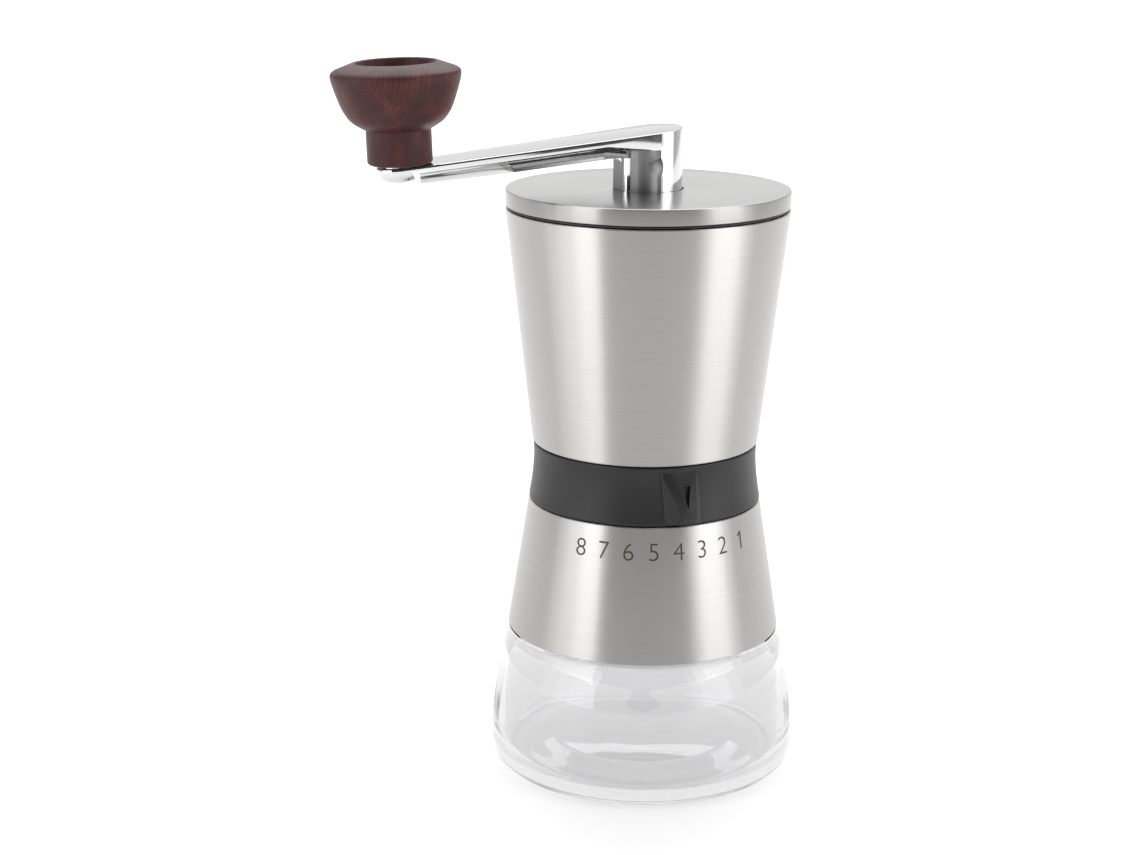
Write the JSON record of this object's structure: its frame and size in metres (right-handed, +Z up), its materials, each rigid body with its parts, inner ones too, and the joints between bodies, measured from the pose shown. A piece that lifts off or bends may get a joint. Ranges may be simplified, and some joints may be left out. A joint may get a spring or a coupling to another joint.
{
  "type": "hand crank coffee grinder",
  "caption": "Manual coffee grinder with a glass jar, a numbered steel collar, an adjusting ring, a conical burr set, a tapered steel hopper, a flat lid and a lift-off crank with a wooden knob.",
  "frame": {"origin": "on the grinder's axis, at the centre of the jar's flat underside", "axes": "+Z up along the grinder's axis; -Y is the side with the dial's numbers; at rest the crank points to -X, turned 24 degrees towards -Y"},
  "size_m": [0.1235, 0.0878, 0.1984],
  "materials": {
    "glass": "clear, thick moulded glass",
    "silicone": "matt, translucent",
    "black_plastic": "satin with a fine grain",
    "brushed_steel": "brushed round the axis, satin",
    "plain_steel": "turned, plain",
    "chrome": "polished chrome plate",
    "ceramic": "matt fired ceramic",
    "bronze": "plain bearing bronze",
    "wood": "dark red-brown stain, satin lacquer"
  },
  "bodies": {
    "jar": {"glass_jar": "glass"},
    "gasket": {"jar_gasket": "silicone"},
    "head": {"grinder_frame": "black_plastic", "dial_collar": "brushed_steel", "bearing_spider": "black_plastic", "lower_bush": "bronze", "upper_bush": "bronze", "frame_screw_1": "plain_steel", "frame_screw_2": "plain_steel", "frame_screw_3": "plain_steel", "hopper_liner": "black_plastic", "hopper_shell": "brushed_steel"},
    "ring": {"adjust_ring": "black_plastic"},
    "carrier": {"burr_carrier": "black_plastic", "ring_burr": "ceramic", "burr_clamp_ring": "plain_steel"},
    "shaft": {"drive_shaft": "plain_steel", "cone_burr": "ceramic", "burr_washer": "plain_steel", "burr_nut": "plain_steel", "wave_spring": "plain_steel", "thrust_washer": "bronze", "shaft_clip": "plain_steel"},
    "crank": {"crank_arm": "chrome", "knob_washer": "chrome", "knob_pin": "plain_steel"},
    "knob": {"wooden_knob": "wood", "knob_sleeve": "bronze"},
    "lid": {"lid_cover": "brushed_steel", "lid_insert": "black_plastic"}
  },
  "joints": [
    {"name": "head_lift", "type": "slide", "parent": "jar", "child": "gasket", "axis": [0, 0, 1], "range_m": [0, 0.012]},
    {"name": "head_turn", "type": "hinge", "parent": "gasket", "child": "head", "pos_m": [0, 0, 0], "axis": [0, 0, 1], "range_deg": [0, 360]},
    {"name": "adjust_turn", "type": "hinge", "parent": "head", "child": "ring", "pos_m": [0, 0, 0.084], "axis": [0, 0, 1], "range_deg": [-52, 30]},
    {"name": "carrier_lift", "type": "slide", "parent": "head", "child": "carrier", "axis": [0, 0, 1], "range_m": [-0.00056, 0.00096]},
    {"name": "crank_turn", "type": "hinge", "parent": "head", "child": "shaft", "pos_m": [0, 0, 0.1], "axis": [0, 0, 1], "continuous": true},
    {"name": "crank_lift", "type": "slide", "parent": "shaft", "child": "crank", "axis": [0, 0, 1], "range_m": [0, 0.03]},
    {"name": "lid_lift", "type": "slide", "parent": "head", "child": "lid", "axis": [0, 0, 1], "range_m": [0, 0.03]},
    {"name": "knob_spin", "type": "hinge", "parent": "crank", "child": "knob", "pos_m": [-0.06349, -0.02827, 0.17166], "axis": [-0.0351, -0.0156, 0.9993], "continuous": true}
  ],
  "couplings": [
    {"joint": "head_lift", "follows": "head_turn", "m_per_rad": 0.0019098},
    {"joint": "carrier_lift", "follows": "adjust_turn", "m_per_rad": -0.001048},
    {"joint": "lid_lift", "follows": "crank_lift", "ratio": 1}
  ]
}
